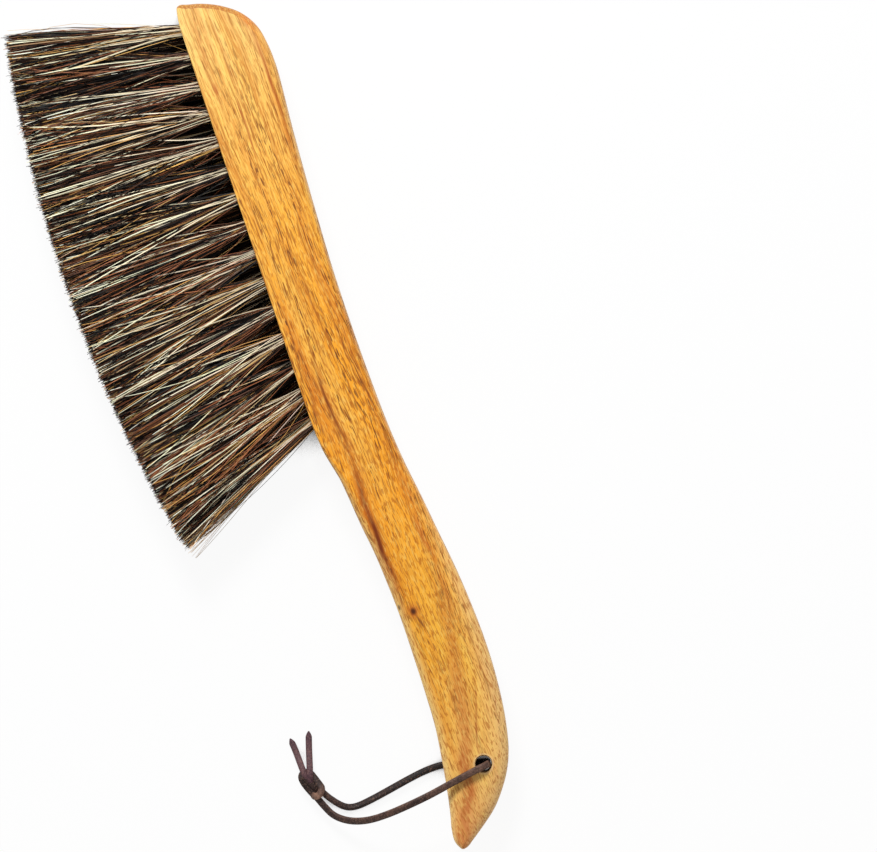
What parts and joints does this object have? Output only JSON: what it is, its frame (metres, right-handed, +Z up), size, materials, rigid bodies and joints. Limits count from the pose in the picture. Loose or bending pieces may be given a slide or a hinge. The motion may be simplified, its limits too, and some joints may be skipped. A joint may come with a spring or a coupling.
{
  "type": "hand broom",
  "caption": "Wooden hand broom with a curved grip, staggered rows of splayed dark fibre tufts and a knotted leather hanging thong through the grip's end.",
  "frame": {"origin": "on the surface the broom lies on, under the middle of the head's lower flat side", "axes": "+X from the toe of the head to the end of the grip, bristles point to -Y, +Z up, away from the surface"},
  "size_m": [0.3492, 0.1081, 0.024],
  "materials": {
    "lacquered_wood": "clear satin lacquer over fine straight grain",
    "bristle_fibre": "mixed dark brown, black and straw fibre, trimmed ends",
    "anchor_steel": "flat steel wire, bare",
    "lace_leather": "dark brown waxed leather"
  },
  "bodies": {
    "broom": {"handle_block": "lacquered_wood", "tuft_upper_01": "bristle_fibre", "tuft_upper_02": "bristle_fibre", "tuft_upper_03": "bristle_fibre", "tuft_upper_04": "bristle_fibre", "tuft_upper_05": "bristle_fibre", "tuft_upper_06": "bristle_fibre", "tuft_upper_07": "bristle_fibre", "tuft_upper_08": "bristle_fibre", "tuft_upper_09": "bristle_fibre", "tuft_upper_10": "bristle_fibre", "tuft_upper_11": "bristle_fibre", "tuft_upper_12": "bristle_fibre", "tuft_upper_13": "bristle_fibre", "tuft_upper_14": "bristle_fibre", "tuft_upper_15": "bristle_fibre", "tuft_middle_01": "bristle_fibre", "tuft_middle_02": "bristle_fibre", "tuft_middle_03": "bristle_fibre", "tuft_middle_04": "bristle_fibre", "tuft_middle_05": "bristle_fibre", "tuft_middle_06": "bristle_fibre", "tuft_middle_07": "bristle_fibre", "tuft_middle_08": "bristle_fibre", "tuft_middle_09": "bristle_fibre", "tuft_middle_10": "bristle_fibre", "tuft_middle_11": "bristle_fibre", "tuft_middle_12": "bristle_fibre", "tuft_middle_13": "bristle_fibre", "tuft_middle_14": "bristle_fibre", "tuft_lower_01": "bristle_fibre", "tuft_lower_02": "bristle_fibre", "tuft_lower_03": "bristle_fibre", "tuft_lower_04": "bristle_fibre", "tuft_lower_05": "bristle_fibre", "tuft_lower_06": "bristle_fibre", "tuft_lower_07": "bristle_fibre", "tuft_lower_08": "bristle_fibre", "tuft_lower_09": "bristle_fibre", "tuft_lower_10": "bristle_fibre", "tuft_lower_11": "bristle_fibre", "tuft_lower_12": "bristle_fibre", "tuft_lower_13": "bristle_fibre", "tuft_lower_14": "bristle_fibre", "tuft_lower_15": "bristle_fibre", "tuft_anchors": "anchor_steel"},
    "thong_loop": {"thong_front_strand": "lace_leather", "thong_back_strand": "lace_leather", "thong_knot": "lace_leather", "thong_long_tail": "lace_leather", "thong_short_tail": "lace_leather"}
  },
  "joints": [
    {"name": "thong_swing", "type": "hinge", "parent": "broom", "child": "thong_loop", "pos_m": [0.22685, 0.0085, 0.012], "axis": [0, 0, 1], "range_deg": [-30, 180]}
  ]
}
